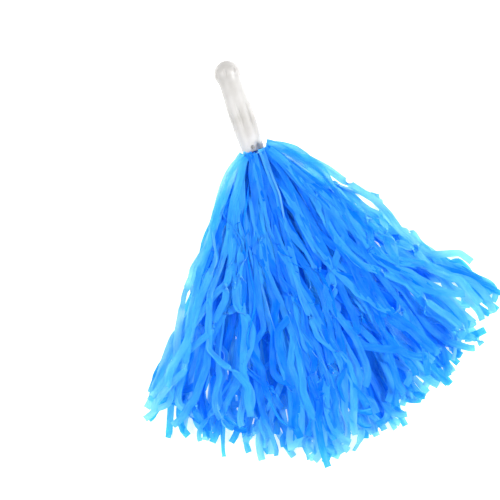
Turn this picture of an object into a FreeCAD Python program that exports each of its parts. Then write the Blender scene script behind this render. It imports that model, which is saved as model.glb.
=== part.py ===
import FreeCAD, Part
import math
import os
import Sketcher
from FreeCAD import Placement, Rotation, Vector

# A hand-held cheer pom pom lying on a surface. A hollow moulded handle grips the folded middle of a
# bundle of thin film streamers, which fan out from its mouth in an upper and a lower layer of locks.
# The handle's axis is X, the streamers point to +X, and Z is up from the surface that it lies on.

os.makedirs("parts", exist_ok=True)
doc = FreeCAD.newDocument("cheer_pom_pom")

# Driving dimensions: millimetres and degrees.
DIMENSIONS = [
    # the handle, from the knob's tip to the mouth
    ("handle_length", 100.0),
    ("knob_radius", 13.6),
    ("neck_start", 24.0),
    ("neck_length", 6.0),
    ("neck_radius", 11.8),
    ("swell_at", 57.0),
    ("swell_radius", 13.0),
    ("mouth_radius", 11.3),
    ("wall", 1.8),
    ("mouth_rounding", 0.6),
    # the moulded flutes: each is the bite of a spindle that lies along the handle
    ("flute_count", 8),
    ("flute_depth", 0.9),
    ("flute_bulge", 2.2),
    ("flute_roll", 9.0),
    ("grip_flute_start", 33.0),
    ("grip_flute_end", 91.0),
    ("knob_flute_start", 2.0),
    ("knob_flute_end", 22.0),
    # the pin, the header and its wire, inside the mouth
    ("pin_radius", 2.0),
    ("pin_from_mouth", 4.5),
    ("pin_recess", 0.6),
    ("pin_rounding", 0.5),
    ("running_gap", 0.05),
    ("header_length", 34.0),
    ("header_stands_out", 1.5),
    ("header_gap", 0.3),
    ("header_rounding", 3.0),
    ("waist_from_mouth", 15.0),
    ("waist_depth", 1.6),
    ("wire_radius", 0.6),
    # the fan of streamers, measured from the point behind the mouth where their lines meet
    ("fan_half_angle", 39.0),
    ("apex_behind_mouth", 24.0),
    ("root_reach", 28.0),
    ("tip_reach", 344.0),
    ("side_shortening", 0.8),
    ("lock_rounding", 1.0),
    # the upper locks, which lift at the mouth
    ("upper_count", 11),
    ("upper_root_low", 13.0),
    ("upper_root_high", 31.0),
    ("upper_tip_low", 8.5),
    ("upper_tip_high", 16.0),
    ("upper_lift", 35.0),
    ("upper_spare", 0.97),
    # the lower locks, which spread sideways
    ("lower_count_per_side", 6),
    ("lower_root_high", 11.0),
    ("lower_tip_high", 6.5),
    ("lower_fill", 0.86),
]

sheet = doc.addObject("Spreadsheet::Sheet", "dims")
for row, (name, value) in enumerate(DIMENSIONS, start=1):
    sheet.set(f"A{row}", name)
    sheet.set(f"B{row}", str(value))
    sheet.setAlias(f"B{row}", name)
doc.recompute()


def size(name):
    """The value of a driving dimension, as a plain number."""
    return float(sheet.get(name))


OVERALL_LENGTH = size("handle_length") - size("apex_behind_mouth") + size("tip_reach")
KNOB_X = -OVERALL_LENGTH / 2
MOUTH_X = KNOB_X + size("handle_length")
APEX_X = MOUTH_X - size("apex_behind_mouth")

# The handle lies on its knob, level. Its pieces are drawn with the knob's tip at their own origin.
HANDLE_PLACE = Placement(Vector(KNOB_X, 0, size("knob_radius")), Rotation())

# How near two places have to be to count as the same, when an edge or a face is picked out.
CLOSE = 0.01

# Sketcher's numbers for a curve's ends and centre, and for the sketch's own axis and origin.
START, END, CENTRE = 1, 2, 3
SKETCH_AXIS = -1
SKETCH_ORIGIN = (-1, 1)


def base_feature(body, role):
    """One of a body's own base planes or axes."""
    return next(f for f in body.Origin.OriginFeatures if f.Role == role)


def new_body(label):
    body = doc.addObject("PartDesign::Body", label)
    body.Label = label
    return body


def new_sketch(body, name, plane="XZ_Plane"):
    """A sketch on one of the body's own base planes. On XZ its x is the handle's axis and its y is up."""
    sketch = body.newObject("Sketcher::SketchObject", name)
    sketch.AttachmentSupport = [(base_feature(body, plane), "")]
    sketch.MapMode = "FlatFace"
    return sketch


def add_line(sketch, start, end):
    return sketch.addGeometry(Part.LineSegment(Vector(*start, 0), Vector(*end, 0)), False)


def add_arc(sketch, start, middle, end):
    return sketch.addGeometry(Part.Arc(Vector(*start, 0), Vector(*middle, 0), Vector(*end, 0)), False)


def relate(sketch, kind, *places):
    sketch.addConstraint(Sketcher.Constraint(kind, *places))


def measure(sketch, kind, *places, formula):
    """A dimension of the sketch, tied to a formula of the sheet's cells."""
    value = float(sketch.evalExpression(formula))
    index = sketch.addConstraint(Sketcher.Constraint(kind, *places, value))
    sketch.setExpression(f"Constraints[{index}]", formula)


def place_point(sketch, place, along, up):
    """Ties a point's two coordinates to the sheet."""
    measure(sketch, "DistanceX", *place, formula=along)
    measure(sketch, "DistanceY", *place, formula=up)


def revolve(body, sketch, name):
    """Turns a sketch fully round the handle's axis."""
    feature = body.newObject("PartDesign::Revolution", name)
    feature.Profile = sketch
    feature.ReferenceAxis = (base_feature(body, "X_Axis"), [""])
    feature.Angle = 360.0
    return feature


# ------------------------------------------------------------------ handle


def tangent_arc_radius(run, drop):
    """The radius of an arc that starts level and is drop lower (or higher) after run."""
    return (run**2 + drop**2) / (2 * drop)


def handle_profile(body):
    """The handle's outline: knob, neck, swell and a long curve to the mouth, all tangent to each other."""
    knob = size("knob_radius")
    neck = size("neck_radius")
    neck_start = size("neck_start")
    neck_end = neck_start + size("neck_length")
    swell_at = size("swell_at")
    swell = size("swell_radius")
    length = size("handle_length")
    mouth = size("mouth_radius")

    # the hollow curve behind the knob, whose centre is above the neck's start
    hollow = ((neck_start - knob) ** 2 + neck**2 - knob**2) / (2 * (knob - neck))
    share = knob / (knob + hollow)
    knob_end = (knob + (neck_start - knob) * share, (neck + hollow) * share)
    hollow_x = (knob_end[0] + neck_start) / 2
    hollow_y = neck + hollow - math.sqrt(hollow**2 - (hollow_x - neck_start) ** 2)
    # two equal arcs make the S-curve from the neck up to the swell
    half_run = (swell_at - neck_end) / 2
    half_rise = (swell - neck) / 2
    s_curve = tangent_arc_radius(half_run, half_rise)
    quarter_drop = s_curve - math.sqrt(s_curve**2 - (half_run / 2) ** 2)
    # one arc from the swell to the mouth
    tail = tangent_arc_radius(length - swell_at, swell - mouth)
    tail_x = (swell_at + length) / 2
    tail_y = swell - tail + math.sqrt(tail**2 - (tail_x - swell_at) ** 2)

    sketch = new_sketch(body, "handle_profile")
    diagonal = knob * math.sqrt(0.5)
    knob_arc = add_arc(sketch, (0, 0), (knob - diagonal, diagonal), knob_end)
    hollow_arc = add_arc(sketch, knob_end, (hollow_x, hollow_y), (neck_start, neck))
    neck_line = add_line(sketch, (neck_start, neck), (neck_end, neck))
    s_middle = (neck_end + half_run, neck + half_rise)
    rise_middle = (neck_end + half_run / 2, neck + quarter_drop)
    crest_middle = (swell_at - half_run / 2, swell - quarter_drop)
    rise_arc = add_arc(sketch, (neck_end, neck), rise_middle, s_middle)
    crest_arc = add_arc(sketch, s_middle, crest_middle, (swell_at, swell))
    tail_arc = add_arc(sketch, (swell_at, swell), (tail_x, tail_y), (length, mouth))
    mouth_line = add_line(sketch, (length, mouth), (length, 0))
    axis_line = add_line(sketch, (length, 0), (0, 0))
    return sketch, (knob_arc, hollow_arc, neck_line, rise_arc, crest_arc, tail_arc, mouth_line, axis_line)


def curve_end(sketch, curve, other):
    """Which end of a curve (START or END) meets the other curve: an arc may be stored either way round."""
    mine = [(end, sketch.getPoint(curve, end)) for end in (START, END)]
    theirs = [sketch.getPoint(other, end) for end in (START, END)]
    return min(mine, key=lambda item: min(item[1].distanceToPoint(p) for p in theirs))[0]


def tie_handle_profile(sketch, curves):
    """Joins the outline's curves and ties them to the sheet."""
    knob_arc, hollow_arc, neck_line, rise_arc, crest_arc, tail_arc, mouth_line, axis_line = curves
    smooth = (knob_arc, hollow_arc, neck_line, rise_arc, crest_arc, tail_arc)
    for curve, following in zip(smooth, smooth[1:]):
        ends = (curve, curve_end(sketch, curve, following), following, curve_end(sketch, following, curve))
        relate(sketch, "Tangent", *ends)
    tail_mouth = curve_end(sketch, tail_arc, mouth_line)
    knob_tip = curve_end(sketch, knob_arc, axis_line)
    relate(sketch, "Coincident", tail_arc, tail_mouth, mouth_line, START)
    relate(sketch, "Coincident", mouth_line, END, axis_line, START)
    relate(sketch, "Coincident", axis_line, END, knob_arc, knob_tip)
    relate(sketch, "Coincident", axis_line, END, *SKETCH_ORIGIN)
    relate(sketch, "Vertical", mouth_line)
    relate(sketch, "Horizontal", axis_line)
    relate(sketch, "Horizontal", neck_line)
    relate(sketch, "PointOnObject", knob_arc, CENTRE, SKETCH_AXIS)
    relate(sketch, "Equal", rise_arc, crest_arc)
    measure(sketch, "Radius", knob_arc, formula="dims.knob_radius")
    place_point(sketch, (neck_line, START), "dims.neck_start", "dims.neck_radius")
    measure(sketch, "DistanceX", neck_line, END, formula="dims.neck_start + dims.neck_length")
    crest_top = curve_end(sketch, crest_arc, tail_arc)
    place_point(sketch, (crest_arc, crest_top), "dims.swell_at", "dims.swell_radius")
    relate(sketch, "Vertical", crest_arc, CENTRE, crest_arc, crest_top)
    place_point(sketch, (mouth_line, START), "dims.handle_length", "dims.mouth_radius")


def hollow_out(body):
    """Leaves a wall of even thickness, open at the mouth only."""
    blank = body.Tip
    doc.recompute()
    length = size("handle_length")
    at_mouth = [n for n, face in enumerate(blank.Shape.Faces, start=1)
                if face.BoundBox.XMin > length - CLOSE]
    shell = body.newObject("PartDesign::Thickness", "handle_wall")
    shell.Base = (blank, [f"Face{n}" for n in at_mouth])
    shell.Reversed = True
    shell.setExpression("Value", "dims.wall")


def curve_end_at(sketch, curve, along):
    """Which end of a curve (START or END) lies at this distance along the handle."""
    return min((START, END), key=lambda end: abs(sketch.getPoint(curve, end).x - along))


def cut_flutes(body, name, ring_radius):
    """A ring of shallow flutes: one spindle-shaped groove beside the handle's axis, then a polar pattern."""
    start = f"dims.{name}_start"
    end = f"dims.{name}_end"
    axis_height = f"dims.{ring_radius} + dims.flute_bulge - dims.flute_depth"
    first = size(f"{name}_start")
    last = size(f"{name}_end")
    high = size(ring_radius) + size("flute_bulge") - size("flute_depth")
    low = high - size("flute_bulge")
    sketch = new_sketch(body, f"{name}_profile")
    sketch.AttachmentOffset = Placement(Vector(), Rotation(Vector(1, 0, 0), size("flute_roll")))
    bow = add_arc(sketch, (first, high), ((first + last) / 2, low), (last, high))
    chord = add_line(sketch, (last, high), (first, high))
    bow_first = curve_end_at(sketch, bow, first)
    bow_last = START + END - bow_first
    relate(sketch, "Coincident", bow, bow_last, chord, START)
    relate(sketch, "Coincident", bow, bow_first, chord, END)
    relate(sketch, "Horizontal", chord)
    place_point(sketch, (chord, END), start, axis_height)
    measure(sketch, "DistanceX", chord, START, formula=end)
    half_chord = f"({end} - {start}) / 2"
    radius = f"(({half_chord}) ^ 2 + dims.flute_bulge ^ 2) / (2 * dims.flute_bulge)"
    measure(sketch, "Radius", bow, formula=radius)

    groove = body.newObject("PartDesign::Groove", f"{name}_groove")
    groove.Profile = sketch
    groove.ReferenceAxis = (sketch, [f"Edge{chord + 1}"])
    groove.Angle = 360.0
    pattern = body.newObject("PartDesign::PolarPattern", f"{name}_ring")
    pattern.Originals = [groove]
    pattern.Axis = (base_feature(body, "X_Axis"), [""])
    pattern.Angle = 360.0
    pattern.setExpression("Occurrences", "dims.flute_count")
    body.Tip = pattern


def drill_across(body, name, radius, along):
    """A round hole right through the body, square to its axis and level with it."""
    sketch = new_sketch(body, f"{name}_profile", "XY_Plane")
    centre = Vector(float(sketch.evalExpression(along)), 0, 0)
    circle = Part.Circle(centre, Vector(0, 0, 1), float(sketch.evalExpression(radius)))
    index = sketch.addGeometry(circle, False)
    measure(sketch, "Radius", index, formula=radius)
    measure(sketch, "DistanceX", index, CENTRE, formula=along)
    relate(sketch, "PointOnObject", index, CENTRE, SKETCH_AXIS)
    hole = body.newObject("PartDesign::Pocket", name)
    hole.Profile = sketch
    hole.Type = "ThroughAll"
    hole.Midplane = True


def handle_shell():
    """The blow-moulded handle: one even wall, closed at the knob and open at the mouth."""
    body = new_body("handle_shell")
    sketch, curves = handle_profile(body)
    tie_handle_profile(sketch, curves)
    revolve(body, sketch, "handle_blank")
    hollow_out(body)
    cut_flutes(body, "grip_flute", "swell_radius")
    cut_flutes(body, "knob_flute", "knob_radius")
    drill_across(body, "pin_hole", "dims.pin_radius + dims.running_gap",
                 "dims.handle_length - dims.pin_from_mouth")
    doc.recompute()
    drilled = body.Tip
    length = size("handle_length")
    rims = [n for n, edge in enumerate(drilled.Shape.Edges, start=1) if edge.BoundBox.XMin > length - CLOSE]
    rounding = body.newObject("PartDesign::Fillet", "mouth_fillet")
    rounding.Base = (drilled, [f"Edge{n}" for n in rims])
    rounding.setExpression("Radius", "dims.mouth_rounding")
    body.Placement = HANDLE_PLACE
    return body


# ------------------------------------------------------------------ inside the mouth


def retaining_pin():
    """The steel pin right across the mouth, a little short of the handle's skin at both ends."""
    rod = doc.addObject("Part::Cylinder", "pin_rod")
    rod.setExpression("Radius", "dims.pin_radius")
    rod.setExpression("Height", "2 * (dims.mouth_radius - dims.pin_recess)")
    pin = doc.addObject("Part::Fillet", "retaining_pin")
    pin.Label = "retaining_pin"
    pin.Base = rod
    doc.recompute()
    rounding = size("pin_rounding")
    rims = [n for n, edge in enumerate(rod.Shape.Edges, start=1) if edge.Closed]
    pin.Edges = [(n, rounding, rounding) for n in rims]
    half_height = size("mouth_radius") - size("pin_recess")
    at = Vector(size("handle_length") - size("pin_from_mouth"), 0, -half_height)
    pin.Placement = HANDLE_PLACE.multiply(Placement(at, Rotation()))
    return pin


def header_profile(body):
    """Half of the header's outline: a plug, rounded at its inner end, with a round waist for the wire."""
    radius = size("mouth_radius") - size("wall") - size("header_gap")
    front = size("handle_length") + size("header_stands_out")
    back = front - size("header_length")
    rounding = size("header_rounding")
    waist = size("handle_length") - size("waist_from_mouth")
    depth = size("waist_depth")
    inset = rounding * (1 - math.sqrt(0.5))

    sketch = new_sketch(body, "header_profile")
    axis_line = add_line(sketch, (front, 0), (back, 0))
    inner_end = add_line(sketch, (back, 0), (back, radius - rounding))
    corner_middle = (back + inset, radius - inset)
    corner = add_arc(sketch, (back, radius - rounding), corner_middle, (back + rounding, radius))
    inner_side = add_line(sketch, (back + rounding, radius), (waist - depth, radius))
    waist_arc = add_arc(sketch, (waist - depth, radius), (waist, radius - depth), (waist + depth, radius))
    outer_side = add_line(sketch, (waist + depth, radius), (front, radius))
    outer_end = add_line(sketch, (front, radius), (front, 0))

    outline = (axis_line, inner_end, corner, inner_side, waist_arc, outer_side, outer_end)
    for curve, following in zip(outline, outline[1:] + outline[:1]):
        kind = "Tangent" if corner in (curve, following) else "Coincident"
        ends = (curve, curve_end(sketch, curve, following), following, curve_end(sketch, following, curve))
        relate(sketch, kind, *ends)
    for level in (axis_line, inner_side, outer_side):
        relate(sketch, "Horizontal", level)
    for upright in (inner_end, outer_end):
        relate(sketch, "Vertical", upright)
    relate(sketch, "PointOnObject", axis_line, START, SKETCH_AXIS)
    radius_formula = "dims.mouth_radius - dims.wall - dims.header_gap"
    front_formula = "dims.handle_length + dims.header_stands_out"
    place_point(sketch, (outer_side, END), front_formula, radius_formula)
    measure(sketch, "DistanceX", inner_end, START, formula=f"{front_formula} - dims.header_length")
    measure(sketch, "DistanceY", inner_side, START, formula=radius_formula)
    measure(sketch, "Radius", corner, formula="dims.header_rounding")
    place_point(sketch, (waist_arc, CENTRE), "dims.handle_length - dims.waist_from_mouth", radius_formula)
    measure(sketch, "Radius", waist_arc, formula="dims.waist_depth")
    return sketch


def streamer_header():
    """The folded middle of all the strips, packed into a plug that the pin crosses."""
    body = new_body("streamer_header")
    revolve(body, header_profile(body), "header_plug")
    drill_across(body, "header_pin_hole", "dims.pin_radius + dims.running_gap",
                 "dims.handle_length - dims.pin_from_mouth")
    body.Placement = HANDLE_PLACE
    return body


def binding_wire():
    """The steel wire ring that grips the header's waist and stops behind the pin."""
    ring = doc.addObject("Part::Torus", "binding_wire")
    ring.Label = "binding_wire"
    ring.setExpression("Radius1", "dims.mouth_radius - dims.wall - dims.header_gap - dims.waist_depth"
                                  " + dims.wire_radius + dims.running_gap")
    ring.setExpression("Radius2", "dims.wire_radius")
    at = Vector(size("handle_length") - size("waist_from_mouth"), 0, 0)
    across = Rotation(Vector(0, 1, 0), 90)
    ring.Placement = HANDLE_PLACE.multiply(Placement(at, across))
    return ring


# ------------------------------------------------------------------ streamers


def lock(label, direction, slope, low, high):
    """One lock of streamers: a slab that widens and thins from its root near the mouth to its tips.

    direction is the angle that it points to, in degrees from the handle's axis. slope is the formula of
    its half width for each millimetre from the fan's apex. low and high each hold the formulas of its
    height at the root and at the tips.
    """
    slab = doc.addObject("Part::Wedge", f"{label}_slab")
    tip_reach = f"dims.tip_reach * cos(dims.side_shortening * {direction} * 1 deg)"
    root_half = f"dims.root_reach * {slope}"
    tip_half = f"{tip_reach} * {slope}"
    formulas = {
        "Xmin": f"-{root_half}",
        "Xmax": root_half,
        "X2min": f"-{tip_half}",
        "X2max": tip_half,
        "Ymin": "0",
        "Ymax": f"{tip_reach} - dims.root_reach",
        "Zmin": low[0],
        "Z2min": low[1],
        "Zmax": high[0],
        "Z2max": high[1],
    }
    for prop, formula in formulas.items():
        slab.setExpression(prop, formula)
    soft = doc.addObject("Part::Fillet", label)
    soft.Label = label
    soft.Base = slab
    doc.recompute()
    rounding = size("lock_rounding")
    long_edges = [n for n, edge in enumerate(slab.Shape.Edges, start=1) if edge.BoundBox.YLength > rounding]
    soft.Edges = [(n, rounding, rounding) for n in long_edges]
    turn = math.radians(direction)
    root_reach = size("root_reach")
    root = Vector(APEX_X + root_reach * math.cos(turn), root_reach * math.sin(turn), 0)
    soft.Placement = Placement(root, Rotation(Vector(0, 0, 1), direction - 90))
    return soft


def upper_locks():
    """The upper layer. Each lock keeps clear of its neighbours' space when it lifts, so it is narrower."""
    count = int(size("upper_count"))
    step = 2 * size("fan_half_angle") / count
    slope = ("dims.upper_spare * cos(dims.upper_lift * 1 deg)"
             " * tan(dims.fan_half_angle * 1 deg / dims.upper_count)")
    low = ("dims.upper_root_low", "dims.upper_tip_low")
    high = ("dims.upper_root_high", "dims.upper_tip_high")
    middle = (count + 1) / 2
    return [lock(f"upper_streamers_{n:02d}", (n - middle) * step, slope, low, high)
            for n in range(1, count + 1)]


def lower_locks():
    """The lower layer, which lies on the surface: numbered from the middle outwards on each side."""
    count = int(size("lower_count_per_side"))
    step = size("fan_half_angle") / count
    slope = "dims.lower_fill * tan(dims.fan_half_angle * 1 deg / (2 * dims.lower_count_per_side))"
    low = ("0", "0")
    high = ("dims.lower_root_high", "dims.lower_tip_high")
    return [lock(f"lower_streamers_{side}_{n}", sign * (n - 0.5) * step, slope, low, high)
            for side, sign in (("left", 1), ("right", -1)) for n in range(1, count + 1)]


# ------------------------------------------------------------------ build, check and write

sub_parts = [handle_shell(), retaining_pin(), streamer_header(), binding_wire()]
sub_parts += upper_locks()
sub_parts += lower_locks()
doc.recompute()

failed = [obj.Name for obj in doc.Objects if "Invalid" in obj.State or "Error" in obj.State]
if failed:
    raise RuntimeError(f"these objects failed: {failed}")
for part in sub_parts:
    if part.Shape.isNull() or not part.Shape.isValid() or len(part.Shape.Solids) != 1:
        raise RuntimeError(f"{part.Label} is not one valid solid")
for part in sub_parts:
    part.Shape.exportStep(f"parts/{part.Label}.step")
    print(part.Label, round(part.Shape.Volume), part.Shape.optimalBoundingBox())
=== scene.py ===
import math
from dataclasses import dataclass

import bpy
import numpy as np
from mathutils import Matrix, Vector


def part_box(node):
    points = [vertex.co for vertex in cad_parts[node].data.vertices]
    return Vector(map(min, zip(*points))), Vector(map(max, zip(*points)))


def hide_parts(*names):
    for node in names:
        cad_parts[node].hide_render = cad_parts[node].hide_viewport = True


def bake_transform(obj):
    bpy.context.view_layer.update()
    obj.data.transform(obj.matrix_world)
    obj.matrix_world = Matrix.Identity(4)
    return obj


# Looks of the cheer pom pom: about 260 strips of thin blue film, laid one over the other on the
# surface, and better materials on the handle and the pieces in its mouth. Metres and radians
# throughout. "Along" is the distance along a strip from its root. A ..._RANGE is the least and the
# most that a random draw gives. A ..._OVER is the stretch along a strip over which a change sets in.

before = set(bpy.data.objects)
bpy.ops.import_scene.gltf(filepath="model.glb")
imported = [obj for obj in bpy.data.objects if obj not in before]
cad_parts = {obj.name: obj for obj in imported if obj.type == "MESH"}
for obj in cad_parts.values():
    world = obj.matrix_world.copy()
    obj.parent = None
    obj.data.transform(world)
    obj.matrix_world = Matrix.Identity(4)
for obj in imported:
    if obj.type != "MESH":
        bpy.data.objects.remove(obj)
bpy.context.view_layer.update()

MM = 0.001
SEED = 22

# ------------------------------------------------------------------ places, from the frame

handle_low, handle_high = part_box("handle_shell")
MOUTH_X = handle_high.x
AXIS_Z = (handle_low.z + handle_high.z) / 2
MOUTH_RADIUS = 11.3 * MM
# the strips' roots, just inside the header's front and its edge
ROOTS_X = MOUTH_X + 0.5 * MM
SOCKET_RADIUS = 8.6 * MM
# where the lines of the fan meet, inside the handle, and how far the fan opens to each side
APEX_X = MOUTH_X - 24 * MM
FAN_HALF = math.radians(39)
UPPER_LOCKS = [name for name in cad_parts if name.startswith("upper_streamers")]
LOWER_LOCKS = [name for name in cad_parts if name.startswith("lower_streamers")]

# ------------------------------------------------------------------ the film strips

STRIP_LENGTH = 328 * MM
STRIP_WIDTH = 7.5 * MM
LENGTH_SPREAD = 0.05
WIDTH_SPREAD = 0.08
SHORTER_AT_SIDES = 0.12
STRIPS_PER_UPPER_LOCK = 12
STRIPS_PER_LOWER_LOCK = 11
OVER_RIM_SHARE = 0.17

# the strips' points along and across them
STEP = 3.0 * MM
CREASES = 3
SOFTEST_SHARP_EDGE = math.radians(28)

# each strip's tone, from 0 (deep) to 1 (bright). A draw in the margin at an end gives that end's
# tone, and the strips folded over the rim, which lie on top of the pile, get painted light: a raised tone.
TONE_MARGIN = 0.15
PAINTED_LIGHT_OVER_RIM = 0.15

# where the strips point: close together in the middle of the fan, and in small clumps. The gathers
# are the share of its direction that a strip keeps, and the shifts are shares of a lock's part of
# the fan.
MIDDLE_GATHER = 0.71
EDGE_GATHER = 0.9
LOCK_OVERLAP = 1.1
STRIPS_PER_CLUMP = 3
CLUMP_SHIFT = 0.12
STRIP_SHIFT = 0.08
RANK_SPREAD = 0.12

# at the mouth the strips splay and stray, and those at the sides flare out again further on
ROOT_SPREAD = 1.6
ROOT_SPREAD_REACH = 19 * MM
ROOT_SPREAD_LOSS_AT_SIDES = 0.4
STRAY = math.radians(12)
FOLDED_STRAY = math.radians(15)
STRAY_REACH = 30 * MM
STRAY_LOSS_AT_SIDES = 0.8
FLARE = math.radians(20)
FLARE_SIZE_RANGE = (0, 1.6)
FLARE_START_RANGE = (60 * MM, 200 * MM)
FLARE_REACH = 90 * MM

# how a strip wanders from its line: with its clump in long waves, and by itself in short runs
WANDER = math.radians(11)
WANDER_STARTS_OVER = (0, 40 * MM)
WANDER_AT_ROOT = 0.7
WANDER_GROWTH = 0.6
PRESSED_WANDER = 0.6
CLUMP_WANDER = 0.6
CLUMP_WAVELENGTH = 130 * MM
OWN_WANDER = 0.9
RUN_RANGE = (15 * MM, 60 * MM)
RUN_VARIATION_RANGE = (0.4, 1.6)
QUICK_CHANGE = 6 * MM

# bends, in pairs. Upper strips have more of them than the lower ones, which are pressed flat.
BEND_PAIRS_PER_STRIP = 2.6
PRESSED_BEND_PAIRS_PER_STRIP = 0.9
BEND_PLACE_RANGE = (0.15, 0.95)
BEND_BACK_RANGE = (15 * MM, 60 * MM)
BEND_REACH_RANGE = (3 * MM, 8 * MM)
BEND_SIZE = math.radians(24)
SHARP_BEND = math.radians(14)
HALF_TURNS_FROM = 70 * MM
HALF_TURN_CHOICES = (-1, 0, 0, 1)

# tips
TIP_REACH_RANGE = (25 * MM, 75 * MM)
TIP_TURN = math.radians(12)
CURLED_TIP_SHARE = 0.45
CURL_RANGE = (math.radians(25), math.radians(100))
CURL_TIGHTENING = 1.5

# what keeps the strips in the fan
WIDEST_TIP = math.radians(39)
ROOT_LEEWAY = math.radians(12)
KEPT_IN_OVER = (20 * MM, 110 * MM)
KEPT_IN_STRENGTH = 1.4

# how strips lie on each other
LAYER_GAP = 0.5 * MM
AIRY_LAYER_GAP = 3.5 * MM
ROOT_LAYER_GAP = 0.12 * MM
FOLDED_ROOT_LAYER_GAP = 1.6 * MM
LOOSENS_OVER = (15 * MM, 80 * MM)
PLEATED_WIDTH = 0.25
LOFT = 9 * MM
LOFT_WAVELENGTH_RANGE = (60 * MM, 130 * MM)
LOFTS_OVER = (25 * MM, 80 * MM)
SETTLING_ROUNDS = 60
SAG = 0.012 * MM
SMOOTHING_ROUNDS = 6
FREE_HEIGHT = 24 * MM
CEILING = 36 * MM
FLOOR_GAP = 0.3 * MM

# roots of the strips that come straight out of the header
SOCKET_FILL = 0.9
LOWER_ROOM = 0.8
COMES_DOWN_OVER = (4 * MM, 40 * MM)
PILES_UP_FROM = 20 * MM

# roots of the strips that fold over just outside the rim
FOLD_AROUND = math.radians(85)
FOLD_AROUND_SPREAD = 0.4
MOST_FOLD_AROUND = 1.6
FOLD_CLEARANCE_RANGE = (1.5 * MM, 4 * MM)
FOLD_OUTWARDS_RANGE = (0, 6 * MM)
FOLD_AHEAD = 4 * MM
FOLD_BEHIND = 5 * MM
# how far ahead of the other roots these start, to clear the rim
FOLDED_ROOT_AHEAD = 2.5 * MM
EDGE_CLEARANCE = 0.5 * MM
EDGE_AHEAD = 4 * MM
UNDER_FOLD_AHEAD = 4 * MM
UNDER_FOLD_DROP = 1.2 * MM
CREST_RANGE = (8 * MM, 20 * MM)
ARCH_RANGE = (0, 8 * MM)
ARCH_END = 45 * MM
HELD_UP_OVER = (10 * MM, 55 * MM)

# the shape across a strip: pleated at the root, then creased, rolled and crumpled
PLEAT = math.radians(150)
PLEATS_END_FROM = 6 * MM
LONGEST_PLEATS = 60 * MM
PLEATS_SHORTER_BY_RANK = 35 * MM
FOLDED_PLEAT_SHARE = 0.35
LOOSE_CREASE = math.radians(7)
LOOSE_CREASE_WAVELENGTH_RANGE = (30 * MM, 90 * MM)
STRONG_FOLD_SHARE = 0.4
STRONG_FOLD_RANGE = (math.radians(40), math.radians(165))
STRONG_FOLD_OVER_RIM = 0.4
STRONG_FOLD_RUN = 70 * MM
STRONG_FOLD_CHANGE = 20 * MM
LIES_FLAT_FROM = 40 * MM
ROLL = math.radians(16)
ROLL_STARTS_OVER = (10 * MM, 60 * MM)
HALF_TURN_MARGIN = 4 * MM
CRUMPLES_OVER = (5 * MM, 40 * MM)
# the crumples' wavelengths, each with its depth
CRUMPLES = ((14 * MM, 0.18 * MM), (34 * MM, 0.25 * MM))

# a vector shorter than this has no direction
NO_LENGTH = 1e-12

# how far apart the strips of a lock are on the map of the film, in strip widths
MAP_SPACING = 2


@dataclass
class Bend:
    """A place where a strip turns to one side, and may roll over as it does."""
    at: float
    reach: float
    size: float
    half_turns: int


@dataclass
class Strip:
    """One strip of film, before it is given a shape. Its direction is where it points, seen from
    above, and its side is that as a share of the fan, from -1 to 1. Its rank is its place in its
    layer of the pile, from 0 to 1. It wanders with the strips that have the same clump seed."""
    lock: str
    upper: bool
    direction: float
    side: float
    rank: float
    length: float
    width: float
    over_rim: bool
    tone: float
    clump_seed: int


def smoothstep(x, low, high):
    """0 below low, 1 above high, and a smooth rise between."""
    share = np.clip((x - low) / (high - low), 0, 1)
    return share * share * (3 - 2 * share)


def smooth_noise(rng, along, wavelength):
    """A smooth random curve of unit size along a strip, with bumps about a wavelength apart."""
    knot_gap = wavelength / 2
    knots = np.arange(-wavelength, along[-1] + 3 * wavelength, knot_gap)
    values = rng.normal(0, 1, len(knots))
    x = (along - knots[0]) / knot_gap
    i = x.astype(int)
    t = x - i
    a, b, c, d = values[i - 1], values[i], values[i + 1], values[i + 2]
    return b + 0.5 * t * (c - a + t * (2 * a - 5 * b + 4 * c - d + t * (3 * (b - c) + d - a)))


def stepped_noise(rng, along, run, change=QUICK_CHANGE):
    """A random curve of unit size along a strip, with level runs and quick changes between them."""
    level = rng.normal(0, 1)
    values = np.full_like(along, level)
    at = 0
    while at < along[-1]:
        at += run * rng.uniform(*RUN_VARIATION_RANGE)
        following = rng.normal(0, 1)
        values += (following - level) * smoothstep(along, at, at + change)
        level = following
    return values


# ------------------------------------------------------------------ which strips there are


def lock_direction(name):
    """The way a lock points, seen from above, from its CAD shape."""
    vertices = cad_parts[name].data.vertices
    points = np.array([vertex.co for vertex in vertices])
    x, y, _ = points.mean(axis=0)
    return math.atan2(y, x - APEX_X)


def gathered(direction):
    """The same direction, moved towards the middle of the fan, where the strips lie closest."""
    side = direction / FAN_HALF
    return direction * (MIDDLE_GATHER + (EDGE_GATHER - MIDDLE_GATHER) * side**2)


def drawn_tone(rng, over_rim):
    """A strip's tone: deep or bright more often than between, with painted light on strips folded over the
    rim.
    """
    tone = smoothstep(rng.uniform(0, 1), TONE_MARGIN, 1 - TONE_MARGIN) * (1 - PAINTED_LIGHT_OVER_RIM)
    # painted light: the strips folded over the rim lie on top of the pile, so their tone is raised
    return tone + PAINTED_LIGHT_OVER_RIM if over_rim else tone


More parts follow.
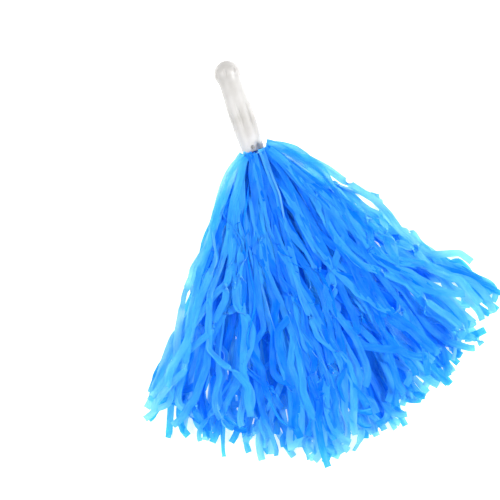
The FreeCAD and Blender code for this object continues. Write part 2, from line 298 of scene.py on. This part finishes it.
def strips_of_lock(rng, name, count, spacing, over_rim_share):
    """A lock's strips, spread over its share of the fan in clumps that lie at one height."""
    middle = lock_direction(name)
    strips = []
    for number in range(count):
        if number % STRIPS_PER_CLUMP == 0:
            clump_seed = rng.integers(1 << 30)
            clump_shift = rng.normal(0, CLUMP_SHIFT)
            clump_rank = rng.uniform(0, 1)
        place = (number + 0.5) / count - 0.5
        shift = place * LOCK_OVERLAP + clump_shift + rng.normal(0, STRIP_SHIFT)
        direction = gathered(middle + spacing * shift)
        side = direction / FAN_HALF
        over_rim = rng.uniform() < over_rim_share
        strips.append(Strip(
            lock=name,
            upper=name in UPPER_LOCKS,
            direction=direction,
            side=np.clip(side, -1, 1),
            rank=np.clip(clump_rank + rng.normal(0, RANK_SPREAD), 0, 1),
            length=STRIP_LENGTH * (1 - SHORTER_AT_SIDES * abs(side) + LENGTH_SPREAD * rng.uniform(-1, 1)),
            width=STRIP_WIDTH * (1 + WIDTH_SPREAD * rng.uniform(-1, 1)),
            over_rim=over_rim,
            tone=drawn_tone(rng, over_rim),
            clump_seed=clump_seed,
        ))
    return strips


def plan_strips(rng):
    """All the strips from the bottom of the pile to its top. Those folded over the rim come last."""
    lower_spacing = 2 * FAN_HALF / len(LOWER_LOCKS)
    upper_spacing = 2 * FAN_HALF / len(UPPER_LOCKS)
    lower = []
    for name in LOWER_LOCKS:
        lower += strips_of_lock(rng, name, STRIPS_PER_LOWER_LOCK, lower_spacing, 0)
    upper = []
    for name in UPPER_LOCKS:
        upper += strips_of_lock(rng, name, STRIPS_PER_UPPER_LOCK, upper_spacing, OVER_RIM_SHARE)
    lower.sort(key=lambda strip: strip.rank)
    upper.sort(key=lambda strip: strip.rank + strip.over_rim)
    return lower + upper


# ------------------------------------------------------------------ how a strip runs


def plan_bends(rng, strip):
    """A strip's bends. Each bend to one side is followed, a little further on, by one back again."""
    bends = []
    usual_pairs = BEND_PAIRS_PER_STRIP if strip.upper else PRESSED_BEND_PAIRS_PER_STRIP
    for _ in range(rng.poisson(usual_pairs)):
        at = rng.uniform(*BEND_PLACE_RANGE) * strip.length
        size = rng.normal(0, BEND_SIZE)
        back_at = at + rng.uniform(*BEND_BACK_RANGE)
        for place, turn in ((at, size), (back_at, -size)):
            may_roll = abs(size) > SHARP_BEND and place > HALF_TURNS_FROM
            half_turns = rng.choice(HALF_TURN_CHOICES) if may_roll else 0
            bends.append(Bend(place, rng.uniform(*BEND_REACH_RANGE), turn, half_turns))
    return bends


def root_heading(rng, strip, along):
    """The strip's own direction, splayed further at its root, with a stray turn that soon dies out."""
    root_spread = ROOT_SPREAD * (1 - ROOT_SPREAD_LOSS_AT_SIDES * strip.side**2)
    turn = strip.direction * (1 + root_spread * np.exp(-along / ROOT_SPREAD_REACH))
    stray = rng.normal(0, FOLDED_STRAY if strip.over_rim else STRAY)
    stray *= 1 - STRAY_LOSS_AT_SIDES * strip.side**2
    return turn + stray * np.exp(-along / STRAY_REACH)


def wander(rng, strip, along):
    """A strip's drift from its line, less where it is pressed flat and more towards its tip."""
    freedom = smoothstep(along, *WANDER_STARTS_OVER)
    freedom *= WANDER_AT_ROOT + WANDER_GROWTH * along / strip.length
    freedom *= 1 if strip.upper else PRESSED_WANDER
    clump_rng = np.random.default_rng(strip.clump_seed)
    with_clump = CLUMP_WANDER * smooth_noise(clump_rng, along, CLUMP_WAVELENGTH)
    alone = OWN_WANDER * stepped_noise(rng, along, rng.uniform(*RUN_RANGE))
    return WANDER * freedom * (with_clump + alone)


def heading(rng, strip, bends, along):
    """The way a strip points at each place along it, seen from above."""
    turn = root_heading(rng, strip, along)
    flare_from = rng.uniform(*FLARE_START_RANGE)
    flare = FLARE * strip.side**3 * rng.uniform(*FLARE_SIZE_RANGE)
    turn += flare * smoothstep(along, flare_from, flare_from + FLARE_REACH)
    turn += wander(rng, strip, along)
    for bend in bends:
        turn += bend.size * smoothstep(along, bend.at, bend.at + bend.reach)
    turn += tip_curl(rng, strip, along)
    return turn


def tip_curl(rng, strip, along):
    """The curl of a strip's last few centimetres."""
    reach = rng.uniform(*TIP_REACH_RANGE)
    size = rng.normal(0, TIP_TURN)
    if rng.uniform() < CURLED_TIP_SHARE:
        size += rng.choice((-1, 1)) * rng.uniform(*CURL_RANGE)
    return size * smoothstep(along, strip.length - reach, strip.length) ** CURL_TIGHTENING


def plan_path(start, turn):
    """The strip's points seen from above, a step apart, from its start and its heading at each point."""
    steps = STEP * np.column_stack((np.cos(turn), np.sin(turn)))
    return start + np.concatenate((np.zeros((1, 2)), np.cumsum(steps[:-1], axis=0)))


def kept_in_fan(start, turn, along):
    """The heading, turned inwards where the strip's path would leave the fan."""
    path = plan_path(start, turn)
    angles = np.arctan2(path[:, 1], path[:, 0] - APEX_X)
    kept_in = smoothstep(along, *KEPT_IN_OVER)
    widest_here = WIDEST_TIP + ROOT_LEEWAY * (1 - kept_in)
    outside = np.where(along > KEPT_IN_OVER[0], np.abs(angles) - widest_here, 0)
    worst = np.argmax(outside)
    excess = max(outside[worst], 0) * math.copysign(1, angles[worst])
    return turn - KEPT_IN_STRENGTH * excess * kept_in


# ------------------------------------------------------------------ how strips lie on each other


class Pile:
    """The height of what lies on the surface so far, in square cells seen from above."""

    CELL = 2 * MM
    # the ground that the cells cover
    BEHIND_MOUTH = 40 * MM
    LENGTH = 420 * MM
    WIDTH = 520 * MM
    # the places across a strip whose cells are looked up, as shares of its half width
    ACROSS = np.linspace(-1, 1, 5)

    def __init__(self):
        self.low = np.array([MOUTH_X - self.BEHIND_MOUTH, -self.WIDTH / 2])
        cells = (np.array([self.LENGTH, self.WIDTH]) / self.CELL).astype(int)
        self.height = np.zeros(cells)

    def cells_under(self, path, turn, half_width):
        """The cells under a strip: for each of its points, some places across it."""
        aside = np.column_stack((-np.sin(turn), np.cos(turn)))
        reach = half_width[:, None, None] * self.ACROSS[None, :, None]
        places = path[:, None, :] + reach * aside[:, None, :]
        cells = ((places - self.low) / self.CELL).astype(int)
        cells = np.clip(cells, 0, np.array(self.height.shape) - 1)
        return cells[..., 0], cells[..., 1]

    def top(self, cells):
        """The highest of the cells under each of a strip's points."""
        return self.height[cells].max(axis=1)

    def add(self, cells, z):
        """Raises the cells under a strip to its height."""
        heights = np.broadcast_to(z[:, None], cells[0].shape)
        np.maximum.at(self.height, cells, heights)


def settle(below):
    """The height of a strip that lies on what is below it, and bends only gently between."""
    z = below.copy()
    for _ in range(SETTLING_ROUNDS):
        z[1:-1] = np.maximum(below[1:-1], (z[:-2] + z[2:]) / 2 - SAG)
        z[-1] = max(below[-1], z[-2] - SAG)
        z[0] = z[1]
    return z


def smoothed(values):
    """The same curve with its small bumps taken out."""
    result = values.copy()
    for _ in range(SMOOTHING_ROUNDS):
        result[1:-1] = (result[:-2] + 2 * result[1:-1] + result[2:]) / 4
    return result


def loft(rng, strip, along):
    """How far a springy strip stands clear of the pile at each place."""
    wavelength = rng.uniform(*LOFT_WAVELENGTH_RANGE)
    away_from_root = smoothstep(along, *LOFTS_OVER)
    springy = LOFT * strip.rank**2 * rng.uniform(0, 1)
    return springy * away_from_root * np.maximum(smooth_noise(rng, along, wavelength), 0)


def pressed_down(z):
    """The heights, with what is above the free height pressed down ever more, to under the ceiling."""
    room = CEILING - FREE_HEIGHT
    excess = np.maximum(z - FREE_HEIGHT, 0)
    return np.minimum(z, FREE_HEIGHT + room * np.tanh(excess / room))


def lay_on_pile(rng, pile, strip, path, turn, along, support, piled_from):
    """The height of each of the strip's points, on the pile or held up by its support near the handle.
    The pile then has the strip on it, from the given place along it."""
    loosened = smoothstep(along, *LOOSENS_OVER)
    pleated_width = 1 if strip.over_rim else PLEATED_WIDTH
    half_width = strip.width / 2 * (pleated_width + (1 - pleated_width) * loosened)
    open_gap = LAYER_GAP + (AIRY_LAYER_GAP * strip.rank**2 if strip.upper else 0)
    root_gap = FOLDED_ROOT_LAYER_GAP if strip.over_rim else ROOT_LAYER_GAP
    gap = root_gap + (open_gap - root_gap) * loosened
    cells = pile.cells_under(path, turn, half_width)
    held_up = np.maximum(support, FLOOR_GAP)
    below = np.maximum(pile.top(cells) + gap, held_up) + loft(rng, strip, along)
    z = np.maximum(smoothed(settle(below)), FLOOR_GAP)
    piled = along > piled_from
    pile.add((cells[0][piled], cells[1][piled]), z[piled])
    return pressed_down(z)


# ------------------------------------------------------------------ where a strip leaves the handle


def socket_place(strip):
    """Where a strip leaves the header, as (sideways, up) from the handle's axis."""
    sideways = SOCKET_FILL * SOCKET_RADIUS * strip.side
    room = math.sqrt(SOCKET_RADIUS**2 - sideways**2)
    up = room * (strip.rank if strip.upper else -1 + LOWER_ROOM * strip.rank)
    return sideways, up


def straight_root(strip, along, pile_z):
    """Blends a strip's height from its place in the header to its place on the pile."""
    _, up = socket_place(strip)
    on_pile = smoothstep(along, *COMES_DOWN_OVER)
    return (AXIS_Z + up) * (1 - on_pile) + pile_z * on_pile


def fold_place(rng, strip):
    """Where a strip folds over outside the rim: a point near the mouth, above it or out to one side."""
    around = strip.side * FOLD_AROUND + rng.normal(0, FOLD_AROUND_SPREAD)
    around = np.clip(around, -MOST_FOLD_AROUND, MOST_FOLD_AROUND)
    clear = MOUTH_RADIUS + rng.uniform(*FOLD_CLEARANCE_RANGE)
    outwards = clear + rng.uniform(*FOLD_OUTWARDS_RANGE) * abs(strip.side)
    x = MOUTH_X + FOLD_AHEAD - (FOLD_AHEAD + FOLD_BEHIND) * rng.uniform(0, 1)**2
    return np.array([x, outwards * math.sin(around), AXIS_Z + clear * math.cos(around)])


def inner_root(strip, fold, turn):
    """The hidden stretch of a folded strip, from just ahead of the header, round the rim's edge, to
    just under the fold."""
    sideways, up = socket_place(strip)
    start = np.array([ROOTS_X + FOLDED_ROOT_AHEAD, sideways, AXIS_Z + up])
    outward = fold - [fold[0], 0, AXIS_Z]
    outward /= np.linalg.norm(outward)
    beside_rim = np.array([MOUTH_X + EDGE_AHEAD, 0, AXIS_Z])
    over_edge = beside_rim + outward * (MOUTH_RADIUS + EDGE_CLEARANCE)
    ahead = np.array([math.cos(turn), math.sin(turn), 0])
    under_fold = fold + UNDER_FOLD_AHEAD * ahead - [0, 0, UNDER_FOLD_DROP]
    return np.array([start, over_edge, under_fold])


# ------------------------------------------------------------------ the strip's surface


def resampled(points, length):
    """The points moved to even steps along the curve, which is cut where it is longer than the strip."""
    gaps = np.linalg.norm(np.diff(points, axis=0), axis=1)
    run = np.concatenate(([0], np.cumsum(gaps)))
    even = np.linspace(0, min(length, run[-1]), round(length / STEP) + 1)
    return np.column_stack([np.interp(even, run, points[:, axis]) for axis in range(3)])


def normalised(vectors):
    """The vectors at unit length. One of no length stays as it is."""
    return vectors / np.maximum(np.linalg.norm(vectors, axis=-1, keepdims=True), NO_LENGTH)


def flat_sides(points):
    """The level direction across a strip that lies flat. Nearer its root it is carried back along the
    strip without twisting, so that it stays true where the strip folds over."""
    ahead = normalised(np.gradient(points, axis=0))
    aside = normalised(np.cross([0, 0, 1], ahead))
    for n in range(int(LIES_FLAT_FROM / STEP) - 1, -1, -1):
        carried = aside[n + 1] - ahead[n] * (aside[n + 1] @ ahead[n])
        aside[n] = carried / np.linalg.norm(carried)
    return ahead, aside


def roll(rng, bends, along):
    """How far a strip is rolled about its own line at each place: gently, and right over at some bends."""
    away_from_root = smoothstep(along, *ROLL_STARTS_OVER)
    angle = ROLL * away_from_root * stepped_noise(rng, along, rng.uniform(*RUN_RANGE))
    for bend in bends:
        start = bend.at - HALF_TURN_MARGIN
        end = bend.at + bend.reach + HALF_TURN_MARGIN
        angle += bend.half_turns * math.pi * smoothstep(along, start, end)
    return angle


def strong_fold(rng, strip, along):
    """One crease folded far over, on some stretches of the strip and not on others."""
    size = rng.uniform(*STRONG_FOLD_RANGE) * rng.choice((-1, 1))
    size *= STRONG_FOLD_OVER_RIM if strip.over_rim else 1
    stretches = stepped_noise(rng, along, STRONG_FOLD_RUN, STRONG_FOLD_CHANGE)
    return size * np.clip(0.5 + stretches, 0, 1)


def crease_angles(rng, strip, along):
    """How far the film is folded at each of its lengthwise creases: pleated at the root, loose beyond."""
    pleats_end = LONGEST_PLEATS - PLEATS_SHORTER_BY_RANK * strip.rank
    pleated = 1 - smoothstep(along, PLEATS_END_FROM, pleats_end)
    pleated *= FOLDED_PLEAT_SHARE if strip.over_rim else 1
    angles = []
    for crease in range(CREASES):
        pleat = PLEAT * (-1) ** crease
        wavelength = rng.uniform(*LOOSE_CREASE_WAVELENGTH_RANGE)
        loose = LOOSE_CREASE * smooth_noise(rng, along, wavelength)
        angles.append(pleat * pleated + loose * (1 - pleated))
    if rng.uniform() < STRONG_FOLD_SHARE:
        angles[rng.integers(CREASES)] += strong_fold(rng, strip, along) * (1 - pleated)
    return np.array(angles)


def running_sum(rows):
    """The sum of the rows so far, from a row of zeros on."""
    return np.concatenate((np.zeros((1, rows.shape[1])), np.cumsum(rows, axis=0)))


def across_strip(strip, angles):
    """The strip's cross-section at each place along it: points aside and upwards from its line."""
    headings = running_sum(angles)
    headings -= headings.mean(axis=0)
    segment = strip.width / (CREASES + 1)
    aside = running_sum(segment * np.cos(headings))
    up = running_sum(segment * np.sin(headings))
    return aside - aside.mean(axis=0), up - up.mean(axis=0)


def crumple(rng, along, count):
    """Small dents of the film, for each point across a strip."""
    return np.array([
        sum(depth * smooth_noise(rng, along, wavelength) for wavelength, depth in CRUMPLES)
        for _ in range(count)])


def strip_surface(rng, strip, bends, points):
    """The strip's vertices, as rows across it."""
    along = STEP * np.arange(len(points))
    ahead, aside = flat_sides(points)
    upward = np.cross(ahead, aside)
    angle = roll(rng, bends, along)[:, None]
    across = aside * np.cos(angle) + upward * np.sin(angle)
    normal = upward * np.cos(angle) - aside * np.sin(angle)
    shift, rise = across_strip(strip, crease_angles(rng, strip, along))
    rise = rise + crumple(rng, along, len(rise)) * smoothstep(along, *CRUMPLES_OVER)
    surface = points + shift[..., None] * across + rise[..., None] * normal
    surface[..., 2] = np.maximum(surface[..., 2], FLOOR_GAP / 2)
    return surface.transpose(1, 0, 2)


def folded_points(rng, pile, strip, turn, along):
    """The line of a strip that comes out round the rim, folds over and runs down over the others."""
    fold = fold_place(rng, strip)
    turn = kept_in_fan(fold[:2], turn, along)
    path = plan_path(fold[:2], turn)
    crest = rng.uniform(*CREST_RANGE)
    rising = smoothstep(along, 0, crest)
    falling = smoothstep(along, crest, ARCH_END)
    arch = rng.uniform(*ARCH_RANGE) * rising * (1 - falling)
    support = (fold[2] + arch) * (1 - smoothstep(along, *HELD_UP_OVER))
    z = lay_on_pile(rng, pile, strip, path, turn, along, support, 0)
    root = inner_root(strip, np.array([*fold[:2], z[0]]), turn[0])
    return np.concatenate((root, np.column_stack((path, z))))


def straight_points(rng, pile, strip, turn, along):
    """The line of a strip that comes straight out of the handle."""
    start = np.array([ROOTS_X, socket_place(strip)[0]])
    turn = kept_in_fan(start, turn, along)
    path = plan_path(start, turn)
    unsupported = np.zeros_like(along)
    pile_z = lay_on_pile(rng, pile, strip, path, turn, along, unsupported, PILES_UP_FROM)
    return np.column_stack((path, straight_root(strip, along, pile_z)))


def laid_strip(rng, pile, strip):
    """The surface of one strip, laid on those before it."""
    along = np.arange(0, strip.length + STEP, STEP)
    bends = plan_bends(rng, strip)
    turn = heading(rng, strip, bends, along)
    shape = folded_points if strip.over_rim else straight_points
    points = shape(rng, pile, strip, turn, along)
    return strip_surface(rng, strip, bends, resampled(points, strip.length))


# ------------------------------------------------------------------ meshes


def strips_mesh(name, strips, surfaces):
    """One mesh of a lock's strips, with a map of the film and each strip's tone (with painted light if
    folded over the rim).
    """
    vertices, faces, tones, coordinates = [], [], [], []
    for number, (strip, surface) in enumerate(zip(strips, surfaces)):
        rows, columns, _ = surface.shape
        first = len(vertices)
        vertices.extend(surface.reshape(-1, 3).tolist())
        tones.extend([strip.tone] * rows * columns)
        for row in range(rows - 1):
            for column in range(columns - 1):
                corner = first + row * columns + column
                faces.append((corner, corner + 1, corner + columns + 1, corner + columns))
                for r, c in ((row, column), (row, column + 1), (row + 1, column + 1), (row + 1, column)):
                    across = number * MAP_SPACING + c / (columns - 1)
                    coordinates.append((across, r * STEP / STRIP_WIDTH))
    mesh = bpy.data.meshes.new(name)
    mesh.from_pydata(vertices, [], faces)
    mesh.uv_layers.new(name="film").data.foreach_set("uv", np.array(coordinates).ravel())
    mesh.attributes.new("tone", "FLOAT", "POINT").data.foreach_set("value", tones)
    mesh.polygons.foreach_set("use_smooth", [True] * len(faces))
    mesh.set_sharp_from_angle(angle=SOFTEST_SHARP_EDGE)
    return mesh


def add_lock(name, strips, surfaces, material):
    """The piece that stands for one CAD lock of streamers."""
    mesh = strips_mesh(name.replace("streamers", "strips"), strips, surfaces)
    mesh.materials.append(material)
    piece = bpy.data.objects.new(mesh.name, mesh)
    bpy.context.scene.collection.objects.link(piece)
    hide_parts(name)
    direction = lock_direction(name)
    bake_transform(piece)


def add_streamers(material):
    """Lays all the strips in one pile, then makes one piece of each lock's strips."""
    rng = np.random.default_rng(SEED)
    pile = Pile()
    strips = plan_strips(rng)
    surfaces = [laid_strip(rng, pile, strip) for strip in strips]
    for name in LOWER_LOCKS + UPPER_LOCKS:
        mine = [n for n, strip in enumerate(strips) if strip.lock == name]
        add_lock(name, [strips[n] for n in mine], [surfaces[n] for n in mine], material)


# ------------------------------------------------------------------ materials

# most of a noise's values are between these
NOISE_LOW = 0.3
NOISE_HIGH = 0.7

# the film's colours, for the deepest and the brightest strips, and how much of its light comes through
FILM_FRONT_DEEP = (0.0, 0.15, 1.0)
FILM_FRONT_BRIGHT = (0.06, 0.46, 1.0)
FILM_THROUGH_DEEP = (0.10, 0.76, 1.0)
FILM_THROUGH_BRIGHT = (0.54, 0.95, 1.0)
FILM_THROUGH_SHARE = 0.55
# the header's film: painted shade for the folds between its pleats, and its blue
HEADER_SHADOW = (0.01, 0.07, 0.55)
HEADER_BLUE = (0.05, 0.30, 0.95)

PLASTIC_DULL = (0.42, 0.405, 0.385)
PLASTIC_PALE = (0.53, 0.52, 0.51)
PIN_STEEL = (0.80, 0.79, 0.78)
WIRE_STEEL = (0.60, 0.59, 0.58)
LINES_TO_BASE = 0.8


class Shader:
    """A material and its nodes."""

    def __init__(self, name):
        self.material = bpy.data.materials.new(name)
        self.material.use_nodes = True
        self.tree = self.material.node_tree
        self.tree.nodes.clear()

    def add(self, kind, inputs=None, **settings):
        """Makes a node, and gives each of its inputs a value or links it to a socket."""
        node = self.tree.nodes.new(kind)
        for key, value in settings.items():
            setattr(node, key, value)
        for key, value in (inputs or {}).items():
            if isinstance(value, bpy.types.NodeSocket):
                self.tree.links.new(value, node.inputs[key])
            else:
                node.inputs[key].default_value = value
        return node

    def noise(self, vector, scale, detail=2.0, roughness=0.5):
        """Noise at each place that the vector gives."""
        inputs = {"Vector": vector, "Scale": scale, "Detail": detail, "Roughness": roughness}
        return self.add("ShaderNodeTexNoise", inputs).outputs["Fac"]

    def stretched(self, vector, scale):
        """The vector scaled along each axis."""
        mapping = self.add("ShaderNodeMapping", {"Vector": vector, "Scale": scale})
        return mapping.outputs["Vector"]

    def mean(self, first, second):
        """The mean of two values."""
        total = self.add("ShaderNodeMath", {0: first, 1: second}, operation="ADD").outputs[0]
        return self.add("ShaderNodeMath", {0: total, 1: 0.5}, operation="MULTIPLY").outputs[0]

    def ramp(self, factor, stops):
        """A colour ramp between two (place, colour) stops."""
        node = self.add("ShaderNodeValToRGB", {"Fac": factor})
        for element, (place, colour) in zip(node.color_ramp.elements, stops):
            element.position = place
            element.color = (*colour, 1)
        return node.outputs["Color"]

    def remapped(self, noise, low, high):
        """The noise's usual range stretched from low to high."""
        inputs = {"Value": noise, "From Min": NOISE_LOW, "From Max": NOISE_HIGH,
                  "To Min": low, "To Max": high}
        return self.add("ShaderNodeMapRange", inputs).outputs["Result"]

    def bump(self, height, distance, strength=1.0, normal=None):
        """A normal tilted by the height's slopes, on top of another normal if there is one."""
        inputs = {"Height": height, "Distance": distance, "Strength": strength}
        if normal is not None:
            inputs["Normal"] = normal
        return self.add("ShaderNodeBump", inputs).outputs["Normal"]

    def finish(self, surface):
        """The material, with this surface."""
        self.add("ShaderNodeOutputMaterial", {"Surface": surface})
        return self.material


def film_material():
    """Thin blue film: light goes through it, so one layer is cyan and a deep pile is a full blue."""
    shader = Shader("streamer_film")
    film = shader.add("ShaderNodeUVMap", uv_map="film").outputs["UV"]
    # the tone holds painted light: it is raised on the strips folded over the rim, on top of the pile
    tone = shader.add("ShaderNodeAttribute", attribute_name="tone").outputs["Fac"]
    creases = shader.noise(shader.stretched(film, (1.1, 0.1, 1)), scale=3.0, detail=3.0)
    crumples = shader.noise(shader.stretched(film, (1.0, 0.8, 1)), scale=2.2, detail=4.0, roughness=0.6)
    mottle = shader.noise(shader.stretched(film, (1.0, 0.25, 1)), scale=1.6)
    shade = shader.mean(tone, mottle)
    front = shader.ramp(shade, [(0.2, FILM_FRONT_DEEP), (0.8, FILM_FRONT_BRIGHT)])
    through = shader.ramp(shade, [(0.2, FILM_THROUGH_DEEP), (0.8, FILM_THROUGH_BRIGHT)])
    normal = shader.bump(creases, distance=0.9 * MM)
    normal = shader.bump(crumples, distance=0.25 * MM, normal=normal)
    surface = shader.add("ShaderNodeBsdfPrincipled", {
        "Base Color": front, "Roughness": 0.42, "Specular IOR Level": 0.1, "Normal": normal})
    light_through = shader.add("ShaderNodeBsdfTranslucent", {"Color": through, "Normal": normal})
    mixed = shader.add("ShaderNodeMixShader", {
        "Fac": FILM_THROUGH_SHARE, 1: surface.outputs["BSDF"], 2: light_through.outputs["BSDF"]})
    return shader.finish(mixed.outputs["Shader"])


def handle_material():
    """Off-white blow-moulded plastic, slightly cloudy, with light scuffs from use."""
    shader = Shader("handle_plastic")
    place = shader.add("ShaderNodeTexCoord").outputs["Object"]
    cloud = shader.noise(place, scale=45.0, detail=3.0)
    streaks = shader.noise(shader.stretched(place, (25, 160, 160)), scale=1.0, detail=3.0)
    grain = shader.noise(place, scale=900.0)
    colour = shader.ramp(cloud, [(NOISE_LOW, PLASTIC_DULL), (NOISE_HIGH, PLASTIC_PALE)])
    roughness = shader.remapped(streaks, low=0.38, high=0.55)
    normal = shader.bump(streaks, distance=0.25 * MM, strength=0.5)
    normal = shader.bump(grain, distance=0.05 * MM, strength=0.6, normal=normal)
    surface = shader.add("ShaderNodeBsdfPrincipled", {
        "Base Color": colour, "Roughness": roughness, "Normal": normal,
        "Subsurface Weight": 0.25, "Subsurface Radius": (1.0, 0.95, 0.9), "Subsurface Scale": 2 * MM})
    return shader.finish(surface.outputs["BSDF"])


def steel_material(name, stretch, base):
    """Drawn steel with fine lines. The stretch is how finely its noise varies along each axis."""
    shader = Shader(name)
    place = shader.add("ShaderNodeTexCoord").outputs["Object"]
    lines = shader.noise(shader.stretched(place, stretch), scale=1.0, detail=3.0)
    tint = [channel * LINES_TO_BASE for channel in base]
    colour = shader.ramp(lines, [(NOISE_LOW, tint), (NOISE_HIGH, base)])
    roughness = shader.remapped(lines, low=0.28, high=0.45)
    surface = shader.add("ShaderNodeBsdfPrincipled", {
        "Base Color": colour, "Metallic": 1.0, "Roughness": roughness,
        "Normal": shader.bump(lines, distance=0.03 * MM)})
    return shader.finish(surface.outputs["BSDF"])


def header_material():
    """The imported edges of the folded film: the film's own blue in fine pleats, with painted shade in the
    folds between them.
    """
    shader = Shader("header_film")
    place = shader.add("ShaderNodeTexCoord").outputs["Object"]
    pleats = shader.noise(shader.stretched(place, (120, 900, 900)), scale=1.0, detail=3.0)
    # painted shade: the pleat noise darkens the blue towards the shadow colour in the folds
    colour = shader.ramp(pleats, [(0.35, HEADER_SHADOW), (0.65, HEADER_BLUE)])
    surface = shader.add("ShaderNodeBsdfPrincipled", {
        "Base Color": colour, "Roughness": 0.5, "Normal": shader.bump(pleats, distance=0.4 * MM)})
    return shader.finish(surface.outputs["BSDF"])


def set_material(node, material):
    """Gives a shown CAD node its material."""
    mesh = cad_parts[node].data
    mesh.materials.clear()
    mesh.materials.append(material)


# ------------------------------------------------------------------ camera, light and floor

# the lens and the sensor are in millimetres, as Blender takes them
LENS = 100
SENSOR_WIDTH = 36
CAMERA_PLACE = (-14.5 * MM, -37.1 * MM, 1464 * MM)
CAMERA_TURN = math.radians(71.1)
FLOOR_HALF = 3.0


def add_camera():
    """Looks straight down at the pom pom through a long lens."""
    camera = bpy.data.objects.new("camera", bpy.data.cameras.new("camera"))
    camera.data.lens = LENS
    camera.data.sensor_width = SENSOR_WIDTH
    camera.location = CAMERA_PLACE
    camera.rotation_euler = (0, 0, CAMERA_TURN)
    camera.data.dof.use_dof = False
    bpy.context.scene.collection.objects.link(camera)
    bpy.context.scene.camera = camera


def add_area_light(name, location, size, power):
    """A large soft light that faces the middle of the pom pom."""
    light = bpy.data.lights.new(name, "AREA")
    light.shape = "SQUARE"
    light.size = size
    light.energy = power
    lamp = bpy.data.objects.new(name, light)
    lamp.location = location
    lamp.rotation_euler = lamp.location.to_track_quat("Z", "Y").to_euler()
    bpy.context.scene.collection.objects.link(lamp)


def add_floor():
    """The plain pale surface that the pom pom lies on."""
    mesh = bpy.data.meshes.new("floor")
    corners = [(x * FLOOR_HALF, y * FLOOR_HALF, 0) for x, y in ((-1, -1), (1, -1), (1, 1), (-1, 1))]
    mesh.from_pydata(corners, [], [(0, 1, 2, 3)])
    shader = Shader("floor_paper")
    surface = shader.add("ShaderNodeBsdfPrincipled", {
        "Base Color": (0.85, 0.85, 0.85, 1), "Roughness": 0.9,
        "Emission Color": (1, 1, 1, 1), "Emission Strength": 0.6})
    mesh.materials.append(shader.finish(surface.outputs["BSDF"]))
    floor = bpy.data.objects.new("floor", mesh)
    bpy.context.scene.collection.objects.link(floor)


def add_world(strength):
    """Even white light from all round."""
    world = bpy.data.worlds.new("studio")
    world.use_nodes = True
    background = world.node_tree.nodes["Background"]
    background.inputs["Color"].default_value = (1, 1, 1, 1)
    background.inputs["Strength"].default_value = strength
    bpy.context.scene.world = world


add_streamers(film_material())
set_material("handle_shell", handle_material())
set_material("retaining_pin", steel_material("pin_steel", stretch=(1500, 1500, 60), base=PIN_STEEL))
set_material("binding_wire", steel_material("wire_steel", stretch=(900, 900, 900), base=WIRE_STEEL))
set_material("streamer_header", header_material())

add_camera()
add_floor()
add_world(strength=0.24)
add_area_light("key", location=(0.2, 1.2, 1.1), size=0.5, power=34)
add_area_light("fill", location=(-0.4, -1.2, 1.1), size=0.9, power=27)
bpy.context.scene.view_settings.view_transform = "Standard"
